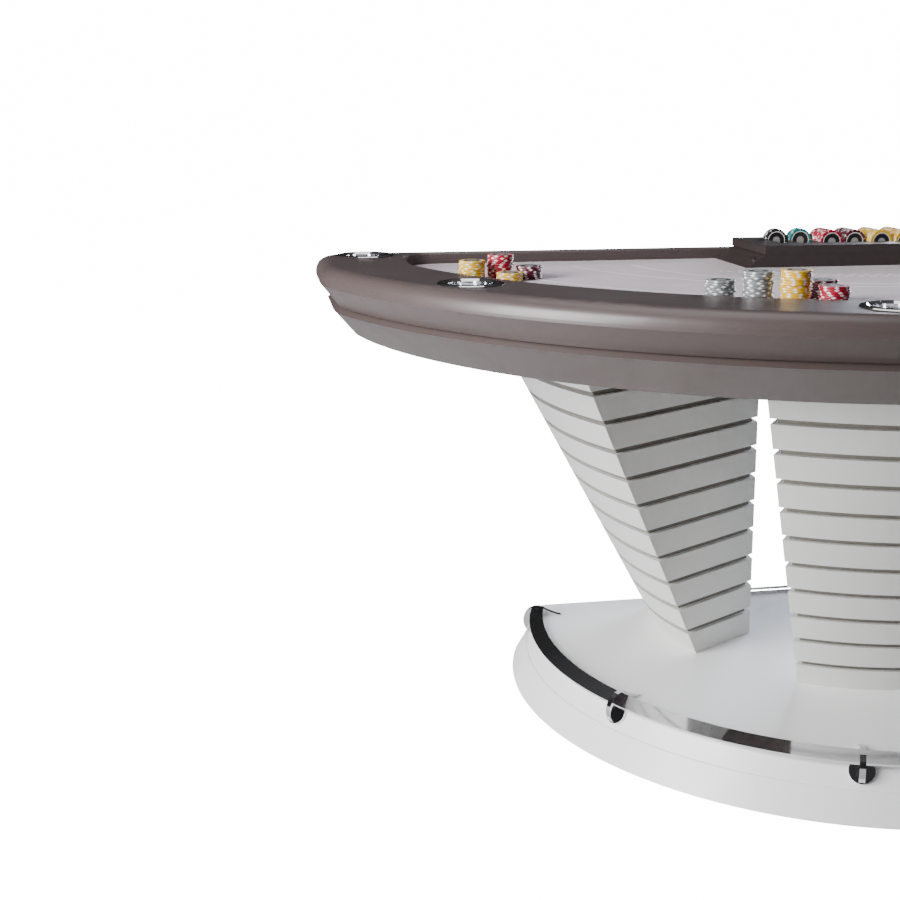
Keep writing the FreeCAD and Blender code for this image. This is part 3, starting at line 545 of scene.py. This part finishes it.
def made_piece(name, tree, values):
    """Plain mesh object from a node tree and its named inputs."""
    seed_mesh = bpy.data.meshes.new(name + " start")
    start = bpy.data.objects.new(name + " start", seed_mesh)
    bpy.context.scene.collection.objects.link(start)
    modifier = start.modifiers.new("nodes", "NODES")
    modifier.node_group = tree
    sockets = {item.name: item.identifier for item in tree.interface.items_tree if item.in_out == "INPUT"}
    for title, value in values.items():
        modifier[sockets[title]] = value
    bpy.context.view_layer.update()
    ready = start.evaluated_get(bpy.context.evaluated_depsgraph_get())
    mesh = bpy.data.meshes.new_from_object(ready)
    mesh.name = name
    start.modifiers.clear()
    bpy.data.objects.remove(start)
    piece = bpy.data.objects.new(name, mesh)
    bpy.context.scene.collection.objects.link(piece)
    return piece


blank = chip_blank()
pile = pile_tree("chips in a row")
finishes = {name: chip_finish(name + " chip", colour) for name, colour in chip_colours.items()}


def chips_in_tube(number, name):
    """Row on edge in a tube of the float, standing where its CAD row stands."""
    low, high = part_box("tube_chips_" + name)
    count = round((high.y - low.y) / chip_thickness)
    place = Vector(((low.x + high.x) / 2, low.y, (low.z + high.z) / 2))
    piece = made_piece("row_of_%s_chips" % name, pile, {
        "Chip": blank, "Count": count, "Pitch": chip_thickness, "Sway": 0.0002, "Seed": 20 + number,
        "Tilt": Vector((-math.pi / 2, 0, 0)), "Place": place, "Finish": finishes[name]})
    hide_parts("tube_chips_" + name)
    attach(piece, "loaded_insert")


def loose_pile(number, node, sway):
    """Loose pile on the cloth, with every chip a little off the one below."""
    low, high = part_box(node)
    colour = node.split("_")[1]
    count = round((high.z - low.z) / chip_thickness)
    place = Vector(((low.x + high.x) / 2, (low.y + high.y) / 2, low.z))
    piece = made_piece(node.replace("stack", "pile"), pile, {
        "Chip": blank, "Count": count, "Pitch": chip_thickness, "Sway": sway, "Seed": 40 + number,
        "Place": place, "Finish": finishes[colour]})
    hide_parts(node)
    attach(piece, node.replace("stack_", "") + "_stack")


for number, name in enumerate(("black", "teal", "red", "plum", "yellow", "gold", "orange")):
    chips_in_tube(number, name)
for number, node in enumerate(sorted(name for name in nodes if name.startswith("stack_"))):
    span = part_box(node)[1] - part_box(node)[0]
    loose_pile(number, node, max(0.0004, span.x / 2 - chip_radius))
bpy.data.objects.remove(blank)

# ---------------------------------------------------------------- room
# A pale floor, soft studio light from the left and above, and a standing viewer's camera.
floor_reach = 12.0
white_to_the_eye = 16.0
room_level = 0.16


def pale_floor():
    """Plain pale floor that looks white and throws some of the light back."""
    mesh = bpy.data.meshes.new("floor")
    corners = [(-floor_reach, -floor_reach, 0), (floor_reach, -floor_reach, 0),
               (floor_reach, floor_reach, 0), (-floor_reach, floor_reach, 0)]
    mesh.from_pydata(corners, [], [(0, 1, 2, 3)])
    floor = bpy.data.objects.new("floor", mesh)
    bpy.context.scene.collection.objects.link(floor)
    finish, tree, shader = new_finish("floor")
    shader.inputs["Base Color"].default_value = (0.55, 0.55, 0.55, 1)
    shader.inputs["Roughness"].default_value = 0.8
    shader.inputs["Emission Color"].default_value = (1, 1, 1, 1)
    seen = add_node(tree, "ShaderNodeLightPath").outputs["Is Camera Ray"]
    feed(tree, shader, Emission_Strength=maths(tree, "MULTIPLY", seen, white_to_the_eye))
    mesh.materials.append(finish)


def soft_light(name, place, target, size, power, colour=(1, 1, 1)):
    lamp = bpy.data.lights.new(name, "AREA")
    lamp.shape = "RECTANGLE"
    lamp.size, lamp.size_y = size
    lamp.energy = power
    lamp.color = colour
    held = bpy.data.objects.new(name, lamp)
    held.location = place
    held.rotation_euler = (Vector(target) - Vector(place)).to_track_quat("-Z", "Y").to_euler()
    bpy.context.scene.collection.objects.link(held)


def room_light():
    """White behind everything, and a dimmer room, dark round the horizon, for metal to reflect."""
    world = bpy.data.worlds.new("room")
    world.use_nodes = True
    tree = world.node_tree
    shade = tree.nodes["Background"]
    view = add_node(tree, "ShaderNodeTexCoord").outputs["Generated"]
    height = add_node(tree, "ShaderNodeSeparateXYZ", {0: view}).outputs[2]
    ramp = add_node(tree, "ShaderNodeValToRGB", {0: height})
    stops = ramp.color_ramp.elements
    stops[0].position, stops[0].color = 0.0, (0.40, 0.40, 0.41, 1)
    stops[1].position, stops[1].color = 0.75, (0.50, 0.50, 0.53, 1)
    for position, level in ((0.12, 0.13), (0.45, 0.20)):
        stop = stops.new(position)
        stop.color = (level, level, level, 1)
    seen = add_node(tree, "ShaderNodeLightPath").outputs["Is Camera Ray"]
    tree.links.new(blended(tree, seen, ramp.outputs[0], (1.0, 1.0, 1.0)), shade.inputs[0])
    tree.links.new(spread(tree, seen, 0.0, 1.0, room_level, white_to_the_eye), shade.inputs[1])
    bpy.context.scene.world = world


pale_floor()
room_light()
soft_light("left softbox", (-2.9, -0.8, 1.4), (-0.3, 0.1, 0.35), (1.4, 1.9), 200)
soft_light("overhead softbox", (-0.6, 0.1, 3.0), (0, 0, 0.4), (2.0, 1.6), 20)
soft_light("back softbox", (2.3, 2.9, 1.35), (0, 0, 0.7), (1.7, 1.0), 215, (0.78, 0.85, 1.0))

eye = bpy.data.cameras.new("camera")
eye.lens = 56.08
eye.sensor_width = 36.0
eye.shift_x = -0.078
camera = bpy.data.objects.new("camera", eye)
camera.location = (-1.0346, dealer_edge - 2.4486, 0.9924)
camera.rotation_euler = Euler((math.radians(90 - 13.58), 0, math.radians(-10.65)))
bpy.context.scene.collection.objects.link(camera)
bpy.context.scene.camera = camera
